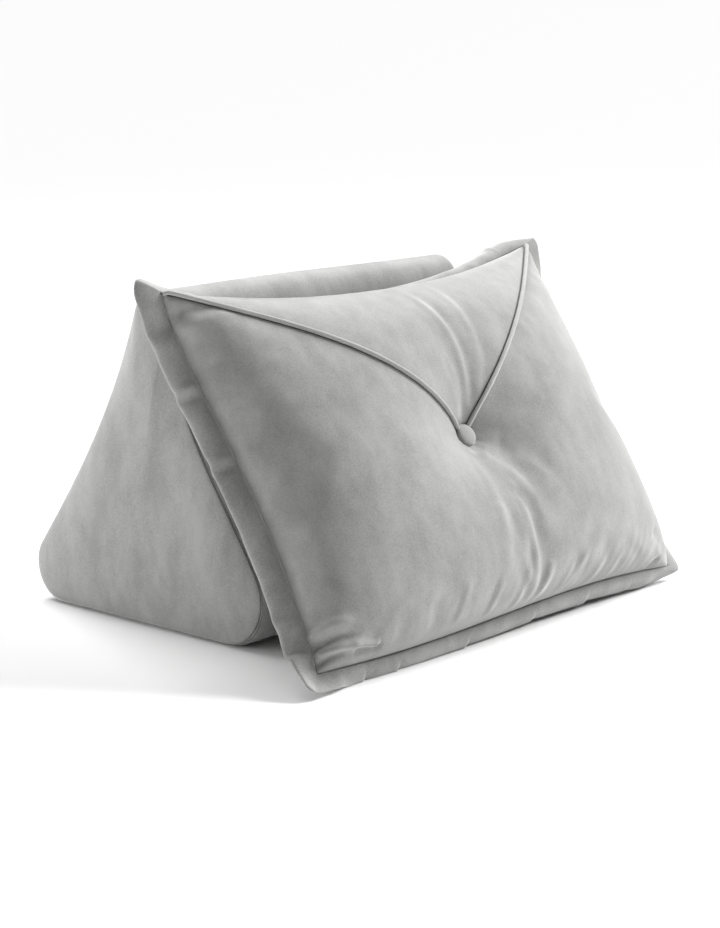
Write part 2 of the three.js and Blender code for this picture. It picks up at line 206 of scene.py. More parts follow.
def velvet(name, deep, pale, brush=(1.0, 1.0, 1.9), patch_depth=1.0):
    """Short-pile velvet between a deep and a pale grey, brushed along one direction."""
    material = bpy.data.materials.new(name)
    material.use_nodes = True
    tree = material.node_tree
    shader = tree.nodes["Principled BSDF"]
    place = add_node(tree, "ShaderNodeTexCoord").outputs["Object"]
    patches = noise_mm(tree, place, PATCH_MM, 3, brush)
    strokes = noise_mm(tree, place, BRUSH_MM, 4, brush)
    pile = noise_mm(tree, place, PILE_MM, 2)
    mixed = add_node(
        tree, "ShaderNodeMath", {"operation": "MULTIPLY_ADD"}, {1: PATCH_SHARE},
        {0: patches, 2: add_node(
            tree, "ShaderNodeMath", {"operation": "MULTIPLY_ADD"}, {1: BRUSH_SHARE},
            {0: strokes, 2: add_node(
                tree, "ShaderNodeMath", {"operation": "MULTIPLY"}, {1: PILE_SHARE},
                {0: pile}).outputs[0]}).outputs[0]})
    middle = (PATCH_SHARE + BRUSH_SHARE + PILE_SHARE) / 2
    half = NAP_SPAN / patch_depth
    spread = add_node(
        tree, "ShaderNodeMapRange",
        inputs={"From Min": middle - half, "From Max": middle + half},
        links={"Value": mixed.outputs[0]})
    nap = add_node(
        tree, "ShaderNodeMix", {"data_type": "RGBA"},
        {"A": linear(deep), "B": linear(pale)},
        {"Factor": spread.outputs["Result"]})
    # Painted shade: near each seam the grey is multiplied down, to a fifth at the seam itself, in
    # place of the shadow in the seam and beside the cord.
    seam = add_node(tree, "ShaderNodeAttribute", {"attribute_name": "seam_mm"})
    shade = add_node(
        tree, "ShaderNodeMapRange",
        inputs={"From Min": 0.0, "From Max": PAINTED_SEAM_SHADE_MM, "To Min": 0.2, "To Max": 1.0},
        links={"Value": seam.outputs["Fac"]})
    shaded = add_node(
        tree, "ShaderNodeMix", {"data_type": "RGBA", "blend_type": "MULTIPLY"}, {"Factor": 1.0},
        {"A": nap.outputs["Result"], "B": shade.outputs["Result"]})
    tree.links.new(shaded.outputs["Result"], shader.inputs["Base Color"])
    soft = add_node(
        tree, "ShaderNodeBump", inputs={"Strength": 0.25, "Distance": 0.8 * MM},
        links={"Height": strokes})
    fine = add_node(
        tree, "ShaderNodeBump", inputs={"Strength": 0.5, "Distance": 0.3 * MM},
        links={"Height": pile, "Normal": soft.outputs["Normal"]})
    tree.links.new(fine.outputs["Normal"], shader.inputs["Normal"])
    shader.inputs["Roughness"].default_value = 0.88
    shader.inputs["Specular IOR Level"].default_value = 0.2
    shader.inputs["Sheen Weight"].default_value = 0.9
    shader.inputs["Sheen Roughness"].default_value = 0.42
    shader.inputs["Sheen Tint"].default_value = linear("#fbfbfb")
    return material


PILLOW_VELVET = velvet("polyester_velvet_pillow", "#8d8d8c", "#a8a8a7", brush=(1.0, 1.4, 1.6))
WEDGE_VELVET = velvet("polyester_velvet_wedge", "#8b8b8a", "#a5a5a4", patch_depth=1.2)
BORDER_VELVET = velvet("polyester_velvet_border", "#8b8b8a", "#a6a6a5", patch_depth=1.3)
# The piping's greys are paler than the rest of the same cloth: a painted highlight along the cord.
PIPING_VELVET = velvet("bias_cut_velvet_piping", "#a6a6a5", "#b4b4b3")
BUTTON_VELVET = velvet("stretched_velvet_button", "#989897", "#a2a2a1")
print("materials:", len(bpy.data.materials))

# %% [markdown]
# All the cloth is made as grids of points worked out by formulas, because that keeps the true
# sizes and puts each crease where it belongs. A grid becomes a mesh in one step, and may carry
# the distance to its nearest seam at each point, which the velvet uses to paint shade into its
# colour near a seam.

# %% Mesh helpers
NO_SEAM = 99.0                    # mm to the nearest seam, where none is near


def grid_faces(rows, columns, wrap_rows=False, wrap_columns=False):
    """Quads of a grid of points that is stored row by row."""
    r = np.arange(rows if wrap_rows else rows - 1)
    c = np.arange(columns if wrap_columns else columns - 1)
    r, c = (x.ravel() for x in np.meshgrid(r, c, indexing="ij"))
    r2, c2 = (r + 1) % rows, (c + 1) % columns
    return np.stack([r * columns + c, r * columns + c2, r2 * columns + c2, r2 * columns + c], 1)


def tube_faces(rings, around):
    """Quads of a stack of rings, closed by a fan to one more point at each end."""
    faces = list(grid_faces(rings, around, wrap_columns=True))
    last, first_pole = (rings - 1) * around, rings * around
    for i in range(around):
        j = (i + 1) % around
        faces.append([j, i, first_pole])
        faces.append([last + i, last + j, first_pole + 1])
    return faces


def cloth_object(name, points, faces, material, seam_mm=NO_SEAM):
    """A smooth mesh object from points in millimetres, with all its faces turned outwards."""
    mesh = bpy.data.meshes.new(name)
    mesh.from_pydata(to_frame(points).tolist(), [], [list(map(int, f)) for f in faces])
    mesh.validate()
    layer = mesh.attributes.new("seam_mm", "FLOAT", "POINT")
    layer.data.foreach_set("value", np.broadcast_to(np.ravel(seam_mm), len(points)).astype("f"))
    corners = np.array([mesh.vertices[i].co for f in mesh.polygons for i in f.vertices[:3]])
    a, b, c = corners[0::3], corners[1::3], corners[2::3]
    if np.einsum("ij,ij->i", a, np.cross(b, c)).sum() < 0:
        mesh.flip_normals()
    mesh.shade_smooth()
    mesh.materials.append(material)
    piece = bpy.data.objects.new(name, mesh)
    bpy.context.collection.objects.link(piece)
    print(name, len(mesh.vertices), "points", len(mesh.polygons), "faces")
    return piece


# %% [markdown]
# The wedge is a triangular bolster: one long strip of velvet is wrapped round the filling and
# closed by two shaped end panels. Its section has a tight ridge, two full feet and sides that
# sag a little inwards. Arcs and two curves give that outline, as on a paper pattern.

# %% Section of the wedge
WEDGE_LENGTH = 439.0
WEDGE_HEIGHT = 339.5
RIDGE_RADIUS = 26.8
BACK_FLARE = 9.3
FRONT_FLARE_TOP = 21.4
FRONT_FLARE_FOOT = 10.2
SIDE_HANDLE = 0.35


def direction(degrees):
    return np.array([np.cos(np.radians(degrees)), np.sin(np.radians(degrees))])


def arc(centre, radius, start, stop, count):
    angles = np.radians(np.linspace(start, stop, count))
    return np.array(centre) + radius * np.stack([np.cos(angles), np.sin(angles)], 1)


def side_curve(start, start_angle, end, end_angle, count):
    """A cubic curve between two points, leaving and arriving at the given angles."""
    reach = SIDE_HANDLE * np.hypot(*(end - start))
    t = np.linspace(0, 1, count)[1:-1, None]
    b, c = start + direction(start_angle) * reach, end - direction(end_angle) * reach
    return (1 - t) ** 3 * start + 3 * (1 - t) ** 2 * t * b + 3 * (1 - t) * t * t * c + t ** 3 * end


def wedge_section():
    """Outline as (y, z) points, from under the back foot over the ridge to the front foot."""
    front = np.array([FRONT_FOOT[0], FRONT_FOOT[1]])
    back = np.array([BACK_FOOT[0], BACK_FOOT[1]])
    ridge = np.array([0.0, WEDGE_HEIGHT - RIDGE_RADIUS])
    up_back = np.degrees(np.arctan2(*(ridge - back)[::-1]))
    down_front = np.degrees(np.arctan2(*(front - ridge)[::-1])) + 360
    back_foot = arc(back, BACK_FOOT[1], -90, up_back + BACK_FLARE - 90, 30)
    over = arc(ridge, RIDGE_RADIUS, up_back - BACK_FLARE - 90, down_front + FRONT_FLARE_TOP - 90, 24)
    front_foot = arc(front, FRONT_FOOT[1], down_front - FRONT_FLARE_FOOT - 90, 270, 34)
    back_side = side_curve(
        back_foot[-1], up_back + BACK_FLARE, over[0], up_back - BACK_FLARE, 60)
    front_side = side_curve(
        over[-1], down_front + FRONT_FLARE_TOP, front_foot[0], down_front - FRONT_FLARE_FOOT, 60)
    return np.concatenate([back_foot, back_side, over, front_side, front_foot])


SECTION = wedge_section()
print("wedge section, mm:", SECTION.min(0).round(1), SECTION.max(0).round(1))

# %% [markdown]
# The pillow is two velvet panels sewn together all round and stuffed hard, so each panel rises
# steeply from the seam to a broad crown and pulls the seam in between the corners. It could be
# inflated by a cloth simulation. Here the crown is a formula in two directions, s across and t
# up, both from -1 to 1, because the crown, the drawn-in seam and the tuft are then known sizes.

# %% Pillow outline and crown
HALF_WIDTH, HALF_HEIGHT = 275.0, 193.0
SIDE_DRAW_IN, TOP_DRAW_IN, BOTTOM_DRAW_IN = 17.0, 29.0, 1.5
BOTTOM_SEAM_WAVE = 4.5
FRONT_CROWN, BACK_CROWN = 91.0, 92.0
CROWN_SQUARENESS, CROWN_FULLNESS = 2.48, 0.413
TOP_CORNERS_FORWARD, BOTTOM_CORNERS_BACK = 19.0, 4.6
SEAM_THICKNESS = 3.0
LEAN = np.radians(34.5)
PILLOW_CENTRE = np.array([0.0, -168.0, 180.0])
UP = np.array([0.0, np.sin(LEAN), np.cos(LEAN)])
OUT = np.array([0.0, -np.cos(LEAN), np.sin(LEAN)])
ACROSS = np.array([1.0, 0.0, 0.0])


def pillow_point(u, v, w):
    """u across, v up the seam plane and w out of its front, to the maker's frame."""
    u, v, w = (np.asarray(x, float)[..., None] for x in (u, v, w))
    return PILLOW_CENTRE + u * ACROSS + v * UP + w * OUT


def seam_point(s, t):
    """Place (u, v) in mm, with the seam drawn in between the corners."""
    draw_in = np.where(t > 0, TOP_DRAW_IN, BOTTOM_DRAW_IN)
    wave = BOTTOM_SEAM_WAVE * np.sin(2.7 * s) * (1 - s ** 6) * np.maximum(-t, 0) ** 3
    u = s * (HALF_WIDTH - SIDE_DRAW_IN * (1 - t * t))
    v = t * (HALF_HEIGHT - draw_in * (1 - s * s)) + wave
    return u, v


def seam_inverse(u, v):
    """s and t of a place on the pillow, by closing in on it."""
    s, t = np.asarray(u, float) / HALF_WIDTH, np.asarray(v, float) / HALF_HEIGHT
    for _ in range(12):
        now_u, now_v = seam_point(s, t)
        s, t = s + (u - now_u) / HALF_WIDTH, t + (v - now_v) / HALF_HEIGHT
        s, t = np.clip(s, -1, 1), np.clip(t, -1, 1)
    return s, t


def seam_curl(s, t):
    """How far in mm the corners of the seam stand out of its plane."""
    top = TOP_CORNERS_FORWARD * np.maximum(t, 0) ** 4
    return s ** 4 * (top - BOTTOM_CORNERS_BACK * np.maximum(-t, 0) ** 4)


def crown(s, t):
    """Share of the full crown, from 0 at the seam to 1 in the middle."""
    rise = (1 - np.abs(s) ** CROWN_SQUARENESS) * (1 - np.abs(t) ** CROWN_SQUARENESS)
    return np.maximum(rise, 0) ** CROWN_FULLNESS


print("seam at mid side and mid top, mm:", seam_point(1, 0)[0], seam_point(0, 1)[1])

# %% [markdown]
# A strong thread pulls the covered button down into the filling. The cloth round it falls in a
# funnel that is steep at the button and eases out over a hand's breadth.

# %% Tuft
BUTTON_V = -18.0
TUFT_FLOOR = 48.1
TUFT_FLOOR_RADIUS = 9.0
TUFT_RADIUS = 60.0
TUFT_POWER = 1.0


def front_height(s, t):
    """Height in mm of the smooth front over the seam plane, with the tuft."""
    u, v = seam_point(s, t)
    full = FRONT_CROWN * crown(s, t)
    from_tuft = np.maximum(np.hypot(u, v - BUTTON_V) - TUFT_FLOOR_RADIUS, 0)
    pull = np.exp(-((from_tuft / TUFT_RADIUS) ** TUFT_POWER))
    return full - (full - TUFT_FLOOR) * pull


def front_point(u, v):
    """The place on the smooth front over a point of the seam plane."""
    s, t = seam_inverse(u, v)
    return pillow_point(u, v, front_height(s, t) + seam_curl(s, t))


print("height at the button and at the crown, mm:",
      front_height(*seam_inverse(0, BUTTON_V)).round(1), front_height(-0.4, 0.2).round(1))

# %% [markdown]
# The back panel meets the wedge and is pressed flat against it. For each height up the pillow
# the distance to the wedge's front is measured, and the back crown stops just short of it.

# %% Back panel against the wedge
GAP = 0.3
PRESS_BLEND = 12.0


def wedge_distance(v):
    """How far behind the seam plane the wedge's front lies, for heights v up the pillow."""
    start = PILLOW_CENTRE[1:] + np.asarray(v, float)[:, None] * UP[1:]
    along = -OUT[1:]
    edge = np.diff(SECTION, axis=0)
    to_edge = SECTION[None, :-1] - start[:, None]
    turn = along[0] * edge[:, 1] - along[1] * edge[:, 0]
    reach = (to_edge[..., 0] * edge[:, 1] - to_edge[..., 1] * edge[:, 0]) / turn
    share = (to_edge[..., 0] * along[1] - to_edge[..., 1] * along[0]) / turn
    hit = (share >= 0) & (share <= 1) & (reach > 0)
    return np.where(hit, reach, np.inf).min(1)


def back_depth(s, t):
    """Depth of the back panel behind the seam plane, pressed flat where it meets the wedge."""
    _, v = seam_point(s, t)
    heights = np.linspace(-HALF_HEIGHT - 5, HALF_HEIGHT + 5, 200)
    room = np.interp(v, heights, np.minimum(wedge_distance(heights), 400.0))
    room = room - GAP + seam_curl(s, t)
    free = BACK_CROWN * crown(s, t)
    share = np.maximum(PRESS_BLEND - np.abs(free - room), 0) / PRESS_BLEND
    return np.minimum(free, room) - share * share * PRESS_BLEND / 4


print("wedge behind the seam plane at mid height, mm:", wedge_distance([0.0]).round(1))

# %% [markdown]
# Folds give the pillow its life. Each long one is listed: a line of points on the
# panel, how high it stands or how deep it lies, and how wide it is on its left and right side.
# A narrow side makes a crisp edge, a wide one a soft slope. They could be sculpted, but a table
# of named folds can be read, moved and reused.

# %% Long folds
# name: points (u, v) in mm, height in mm (below zero is a trough), left and right width in mm
FOLDS = {
    "left_crest": ([(-8, -34), (-16, -59), (-21, -82), (-25, -110), (-25, -142)], 1.25, 24, 14),
    "left_trough": ([(-9, -38), (-13, -65), (-15, -90), (-18, -118), (-19, -142)], -2.0, 10, 14),
    "middle_crest": ([(3, -38), (10, -54), (20, -80), (26, -110), (27, -152)], 0.9, 12, 10),
    "right_trough": ([(10, -38), (22, -60), (32, -84), (37, -112), (38, -138)], -1.5, 9, 18),
    "low_crest": ([(-2, -76), (3, -100), (5, -129), (10, -160), (14, -190)], 1.0, 12, 8),
    "low_trough": ([(6, -86), (12, -108), (14, -135), (16, -165), (19, -191)], -2.4, 7, 12),
    "low_right_crest": ([(30, -164), (26, -180), (21, -191)], 1.3, 5, 8),
    "far_left_crest": ([(-29, -96), (-35, -129), (-38, -150), (-38, -172)], 0.9, 10, 7),
    "right_soft_trough": ([(22, -36), (49, -58), (62, -74), (72, -104)], -1.8, 10, 15),
    "right_soft_crest": ([(34, -50), (52, -70), (66, -96)], 0.8, 7, 10),
    "top_left_crest": ([(-4, -2), (-7, 14), (-14, 44), (-22, 80)], 0.8, 10, 6),
    "top_trough": ([(2, -2), (6, 16), (6, 44), (2, 72)], -0.9, 6, 7),
    "top_middle_trough": ([(14, 2), (21, 45), (22, 90), (17, 123), (9, 152)], -1.2, 6, 8),
    "top_crest": ([(10, 2), (15, 40), (16, 86), (8, 122), (0, 150)], 0.8, 6, 5),
    "top_right_trough": ([(30, 14), (46, 50), (55, 96), (56, 130), (50, 156)], -1.1, 7, 10),
    "top_right_crest": ([(24, 12), (42, 50), (50, 96), (49, 121), (42, 152)], 0.8, 6, 5),
}
print(len(FOLDS), "long folds")

# %% [markdown]
# Where the panels are sewn, the extra length of cloth is eased into the seam, and short ridges
# fan out from it. The corner at the lower left is pushed in and buckles more than the others.

# %% Folds at the corners and the seams
FOLDS |= {
    "lower_left_crest_a": ([(-275, -160), (-270, -161), (-258, -158), (-232, -163)], 4.2, 7, 5),
    "lower_left_trough_a": ([(-275, -169), (-268, -171), (-254, -171), (-230, -175)], -5.4, 5, 6),
    "lower_left_crest_b": ([(-275, -178), (-266, -179), (-252, -180), (-232, -184)], 3.6, 4, 4),
    "lower_left_trough_b": ([(-275, -186), (-262, -185), (-240, -188)], -4.2, 4, 4),
    "lower_left_crest_c": ([(-212, -189), (-222, -187), (-236, -183), (-248, -180)], 4.0, 4, 4),
    "lower_left_trough_c": ([(-206, -192), (-216, -191), (-230, -189), (-244, -187)], -4.4, 3.5, 3.5),
    "lower_right_crease": ([(222, -193), (234, -189), (248, -186)], -2.6, 3, 4),
    "lower_right_pinch": ([(222, -160), (240, -172), (262, -180)], -1.8, 7, 7),
    "upper_left_trough": ([(-274, 170), (-262, 168), (-246, 166), (-226, 168)], -2.6, 7, 9),
    "upper_left_crest": ([(-274, 156), (-260, 152), (-240, 150), (-214, 152)], 1.7, 7, 7),
    "seam_ridge_a": ([(-15, -192), (-10, -180), (-3, -160)], 1.1, 5, 6),
    "seam_ridge_b": ([(57, -192), (65, -181), (76, -164)], 0.8, 5, 6),
    "seam_ridge_c": ([(64, -191), (78, -179), (96, -160)], 0.9, 5, 6),
    "seam_ridge_d": ([(-107, -192), (-103, -178), (-97, -156)], 1.2, 5, 7),
    "seam_ridge_e": ([(-58, -192), (-54, -182), (-46, -164)], 1.2, 4, 6),
    "seam_ridge_f": ([(106, -192), (116, -186), (134, -172)], 0.7, 5, 6),
    "seam_ridge_g": ([(146, -192), (152, -184), (164, -168)], 0.7, 5, 6),
}


def smooth_line(points, count=28):
    """A smooth run of points through a few given ones."""
    points = np.asarray(points, float)
    steps = np.concatenate([[0], np.hypot(*np.diff(points, axis=0).T).cumsum()])
    padded = np.vstack([2 * points[0] - points[1], points, 2 * points[-1] - points[-2]])
    at = np.linspace(0, len(points) - 1, count)
    k = np.minimum(at.astype(int), len(points) - 2)
    f = (at - k)[:, None]
    p0, p1, p2, p3 = (padded[k + i] for i in range(4))
    curve = 0.5 * (2 * p1 + (p2 - p0) * f + (2 * p0 - 5 * p1 + 4 * p2 - p3) * f ** 2
                   + (3 * p1 - p0 - 3 * p2 + p3) * f ** 3)
    return curve, steps[-1]


def fold_height(surface, u, v, fold, start_fade=0.08, end_fade=0.3):
    """Height that one fold adds at each point of the surface."""
    points, height, left, right = fold
    line, _ = smooth_line(points)
    spine = front_point(line[:, 0], line[:, 1])
    reach = 3 * max(left, right)
    near = np.all((surface > spine.min(0) - reach) & (surface < spine.max(0) + reach), axis=-1)
    added = np.zeros(surface.shape[:-1])
    if not near.any():
        return added
    here, flat = surface[near], np.stack([u[near], v[near]], -1)
    best = np.full(len(here), np.inf)
    along = np.zeros(len(here))
    side = np.zeros(len(here))
    for i in range(len(spine) - 1):
        run = spine[i + 1] - spine[i]
        share = np.clip((here - spine[i]) @ run / (run @ run), 0, 1)
        gap = np.linalg.norm(here - spine[i] - share[:, None] * run, axis=1)
        flat_run, flat_off = line[i + 1] - line[i], flat - line[i]
        turn = flat_run[0] * flat_off[:, 1] - flat_run[1] * flat_off[:, 0]
        closer = gap < best
        best = np.where(closer, gap, best)
        along = np.where(closer, (i + share) / (len(spine) - 1), along)
        side = np.where(closer, turn, side)
    going_down = points[-1][1] < points[0][1]
    on_left = (side < 0) if going_down else (side > 0)
    width = np.where(on_left, left, right)
    ends = np.clip(np.minimum(along / start_fade, (1 - along) / end_fade), 0, 1)
    added[near] = height * np.exp(-((best / width) ** 2)) * ends ** 2 * (3 - 2 * ends)
    return added


print(len(FOLDS), "folds with those at the corners and seams")

# %% [markdown]
# Between the listed folds lie many faint ones that no maker plans: small gathers all
# along the seam, and short pleats round the button. They are drawn by a seeded random
# generator, so that each run gives the same cushion.

# %% Small gathers and pleats
rng = np.random.default_rng(11)


def seam_gathers():
    """Short ridges that climb from the seams, and faint ones across the left slope, as folds."""
    gathers = []
    at = -238.0
    while at < 252:
        at += rng.uniform(8, 17)
        top = rng.uniform(-178, -145)
        shift = (at - 20) * 0.05 + rng.uniform(2, 12)
        height = rng.uniform(0.1, 0.35) * (1 if rng.random() < 0.6 else -1)
        points = [(at, -191.5), (at + shift * 0.6, (top - 191) / 2), (at + shift, top)]
        gathers.append((points, height, rng.uniform(3, 6.5), rng.uniform(3, 6.5)))
    for side in (-1, 1):
        at = -150.0
        while at < 170:
            at += rng.uniform(16, 34)
            inner = side * rng.uniform(240, 258)
            height = rng.uniform(0.4, 1.2) * (1 if rng.random() < 0.5 else -1)
            points = [(side * 272, at), (inner, at + rng.uniform(-7, 7))]
            gathers.append((points, height, rng.uniform(4, 8), rng.uniform(4, 8)))
    for at in np.linspace(-110, 95, 9):
        place, inner = at + rng.uniform(-8, 8), rng.uniform(-222, -180)
        points = [(-266, place), ((inner - 266) / 2, place + rng.uniform(-5, 5)), (inner, place)]
        height = rng.uniform(0.35, 0.7) * (1 if rng.random() < 0.5 else -1)
        gathers.append((points, height, rng.uniform(5, 9), rng.uniform(5, 9)))
    return gathers


PLEATS = 17
pleat_angles = np.linspace(0, 2 * np.pi, PLEATS, endpoint=False) + rng.uniform(-0.12, 0.12, PLEATS)
pleat_heights = rng.uniform(-0.7, 0.4, PLEATS)


def tuft_pleats(u, v):
    """Short radial pleats close to the button."""
    radius = np.hypot(u, v - BUTTON_V)
    angle = np.arctan2(v - BUTTON_V, u)
    added = np.zeros_like(radius)
    for at, height in zip(pleat_angles, pleat_heights):
        off = np.abs((angle - at + np.pi) % (2 * np.pi) - np.pi)
        added += height * np.exp(-((off / 0.13) ** 2))
    rise = np.clip((radius - 8) / 8, 0, 1)
    return added * rise * np.exp(-np.maximum(radius - 14, 0) / 16)


GATHERS = seam_gathers()
print(len(FOLDS), "folds and", len(GATHERS), "gathers")

# %% [markdown]
# The piping is a cord wrapped in a bias strip and caught in the seam between the pillow's upper
# and lower front panels. The two runs bow a little on their way to the button. The line is
# needed before the pillow is made, because the panels dip where they are sewn to it.

# %% Line of the V seam
PIPING_BOW = 0.036
BUTTON_T = BUTTON_V / HALF_HEIGHT


def v_seam(side, count=160, start=0.004, stop=0.995):
    """Points (u, v) from a top corner down to the button."""
    along = np.linspace(start, stop, count)
    bow = PIPING_BOW * 4 * along * (1 - along)
    u, v = seam_point(side * (1 - along - bow), 1 + (BUTTON_T - 1) * along + bow)
    return np.stack([u, v], 1)


print("one run of the V, flat, mm:", np.hypot(*np.diff(v_seam(-1), axis=0).T).sum().round())


def distance_to_v(surface):
    """Shortest distance from each point of the smooth front to the V seam."""
    flat = surface.reshape(-1, 3)
    best = np.full(len(flat), np.inf)
    for side in (-1, 1):
        line = v_seam(side)
        spine = front_point(line[:, 0], line[:, 1])
        for i in range(len(spine) - 1):
            run = spine[i + 1] - spine[i]
            share = np.clip((flat - spine[i]) @ run / (run @ run), 0, 1)
            gap = np.linalg.norm(flat - spine[i] - share[:, None] * run, axis=1)
            best = np.minimum(best, gap)
    return best.reshape(surface.shape[:-1])


# %% [markdown]
# The front and back panels are two grids that meet at the seam. The grid lines are closer at
# the border and round the tuft, where the cloth bends most. Every second line gives a light
# copy of the pillow, which settles in a cloth simulation first.

# %% Pillow grids
COLUMNS, ROWS = 244, 172
TUFT_DENSITY, TUFT_DENSITY_REACH, EDGE_DENSITY = 0.4, 0.3, 0.25


def close_up(values, centre):
    even = values + EDGE_DENSITY * values * (1 - values * values)
    away = even - centre
    return even - TUFT_DENSITY * away * np.exp(-((away / TUFT_DENSITY_REACH) ** 2))


def surface_normals(grid):
    """Unit normals of a grid of points, by its neighbours."""
    across = np.gradient(grid, axis=1)
    up = np.gradient(grid, axis=0)
    normal = np.cross(across, up)
    return normal / np.maximum(np.linalg.norm(normal, axis=-1, keepdims=True), 1e-9)


def pillow_faces(rows, columns):
    """Both panels and the narrow wall between them at the seam."""
    panel = grid_faces(rows + 1, columns + 1)
    count = (rows + 1) * (columns + 1)
    index = np.arange(count).reshape(rows + 1, columns + 1)
    rim = np.concatenate([
        index[0, :-1], index[:-1, -1], index[-1, :0:-1], index[:0:-1, 0]])
    after = np.roll(rim, -1)
    wall = np.stack([rim, rim + count, after + count, after], 1)
    return np.concatenate([panel, panel[:, ::-1] + count, wall])


s_line = close_up(np.linspace(-1, 1, COLUMNS + 1), 0.0)
t_line = close_up(np.linspace(-1, 1, ROWS + 1), BUTTON_T)
S, T = np.meshgrid(s_line, t_line)
U, V = seam_point(S, T)
edge = SEAM_THICKNESS / 2
smooth_front = pillow_point(U, V, seam_curl(S, T) + np.maximum(front_height(S, T), edge))
smooth_back = pillow_point(U, V, seam_curl(S, T) - np.maximum(back_depth(S, T), edge))
front_normals = surface_normals(smooth_front)
v_distance = distance_to_v(smooth_front)
print("front grid", smooth_front.shape[:2])

# %% [markdown]
# The cloth is cut a little larger than the shape it is sewn to, and the filling presses it out.
# Held at its seams, round the button and against the wedge, it can only buckle, and the
# simulation finds those soft buckles. The general swelling is then taken off again, so that
# the crown keeps its measured height and only the buckles stay.

# %% Cloth simulation
SETTLE_FRAMES = 20
SETTLE_CAP = 6.0                  # mm that a point may move
SWELLING_CELLS = 7                # width of the blur that finds the general swelling
FRONT_CALM, TOP_CALM = 0.7, 0.25  # share of the buckles kept, below and above the V seam
EXTRA_CLOTH = 0.014               # share by which the cloth is cut larger
FILLING_PRESSURE = 4
HELD_ROUND_BUTTON, HELD_AT_V_SEAM = 17, 4      # mm from the button's and the cord's middle


def settle(points, faces, held, grow, pressure):
    """How far, in mm, each point of a closed cloth moves when it swells, held where it is sewn."""
    scene = bpy.context.scene
    mesh = bpy.data.meshes.new("settling")
    mesh.from_pydata(to_frame(points).tolist(), [], faces.tolist())
    cloth_copy = bpy.data.objects.new("settling", mesh)
    bpy.context.collection.objects.link(cloth_copy)
    sewn = cloth_copy.vertex_groups.new(name="sewn")
    sewn.add(np.flatnonzero(held).tolist(), 1.0, "REPLACE")
    cloth = cloth_copy.modifiers.new("cloth", "CLOTH")
    cloth.settings.quality = 6
    cloth.settings.mass = 0.3
    cloth.settings.tension_stiffness = 15
    cloth.settings.compression_stiffness = 15
    cloth.settings.shear_stiffness = 5
    cloth.settings.bending_stiffness = 0.6
    cloth.settings.use_pressure = True
    cloth.settings.uniform_pressure_force = pressure
    cloth.settings.vertex_group_mass = "sewn"
    cloth.settings.shrink_min = -grow
    cloth.settings.effector_weights.gravity = 0
    for step in range(1, SETTLE_FRAMES + 1):
        scene.frame_set(step)
    settled = cloth_copy.evaluated_get(bpy.context.evaluated_depsgraph_get())
    after = np.empty(len(points) * 3)
    settled.data.vertices.foreach_get("co", after)
    scene.frame_set(1)
    bpy.data.objects.remove(cloth_copy)
    moved = after.reshape(-1, 3) / MM - OFFSET - points
    far = np.linalg.norm(moved, axis=1, keepdims=True)
    print("settled:", len(points), "points, mean", far.mean().round(2), "most", far.max().round(2))
    return moved * SETTLE_CAP * np.tanh(far / SETTLE_CAP) / np.maximum(far, 1e-6)


def blur(grid, cells, wrap=False):
    """Gaussian blur of a grid along both of its directions."""
    reach = np.arange(-3 * cells, 3 * cells + 1)
    weights = np.exp(-0.5 * (reach / cells) ** 2)
    weights /= weights.sum()
    for axis in (0, 1):
        total = np.zeros_like(grid)
        index = np.arange(grid.shape[axis])
        for step, weight in zip(reach, weights):
            near = index + step
            near = near % len(index) if wrap and axis else np.clip(near, 0, len(index) - 1)
            total += weight * np.take(grid, near, axis=axis)
        grid = total
    return grid


def refine(coarse):
    """A grid of every second line brought back to all lines, and softened."""
    rows, columns = coarse.shape[:2]
    fine = np.zeros((2 * rows - 1, 2 * columns - 1, 3))
    fine[::2, ::2] = coarse
    fine[1::2, ::2] = (coarse[1:] + coarse[:-1]) / 2
    fine[:, 1::2] = (fine[:, 2::2] + fine[:, :-2:2]) / 2
    return blur(fine, 2)


def pillow_buckles():
    """The buckles of the front panel, found on the light copy."""
    front, back = smooth_front[::2, ::2], smooth_back[::2, ::2]
    rim = np.ones(front.shape[:2], bool)
    rim[1:-1, 1:-1] = False
    tuft = np.hypot(U, V - BUTTON_V)[::2, ::2] < HELD_ROUND_BUTTON
    sewn = rim | tuft | (v_distance[::2, ::2] < HELD_AT_V_SEAM)
    held = np.concatenate([sewn.ravel(), np.ones(sewn.size, bool)])
    moved = settle(
        np.concatenate([front.reshape(-1, 3), back.reshape(-1, 3)]),
        pillow_faces(ROWS // 2, COLUMNS // 2), held, EXTRA_CLOTH, FILLING_PRESSURE)
    moved = moved[:front.size // 3].reshape(front.shape)
    return refine(moved - blur(moved, SWELLING_CELLS))


buckles = pillow_buckles()
print("largest buckle, mm:", np.abs(buckles).max().round(2))

# %% [markdown]
# Folds, gathers and pleats now lift the settled cloth along its own slope, so that they also
# work on the steep sides. Beside the V seam and at the outer seam the cloth is held down.

# %% Pillow body
V_SEAM_DIP, V_SEAM_WIDTH = 1.1, 4.0
FOLDS_END_AT_V, BUCKLES_END_AT_V = 6, 9        # mm from the cord's middle
BUCKLES_END_AT_BUTTON, SEAM_RISE = 20, 8       # mm out from the button, mm up from the seam
# Painted shadow of the cord: the painted seam shade reaches further out on one side of each run,
# where the cord's shadow falls.
V_PAINTED_SHADE_LOW, V_PAINTED_SHADE_HIGH = 2.0, 0.8   # mm from the cord's middle where its shade ends inwards

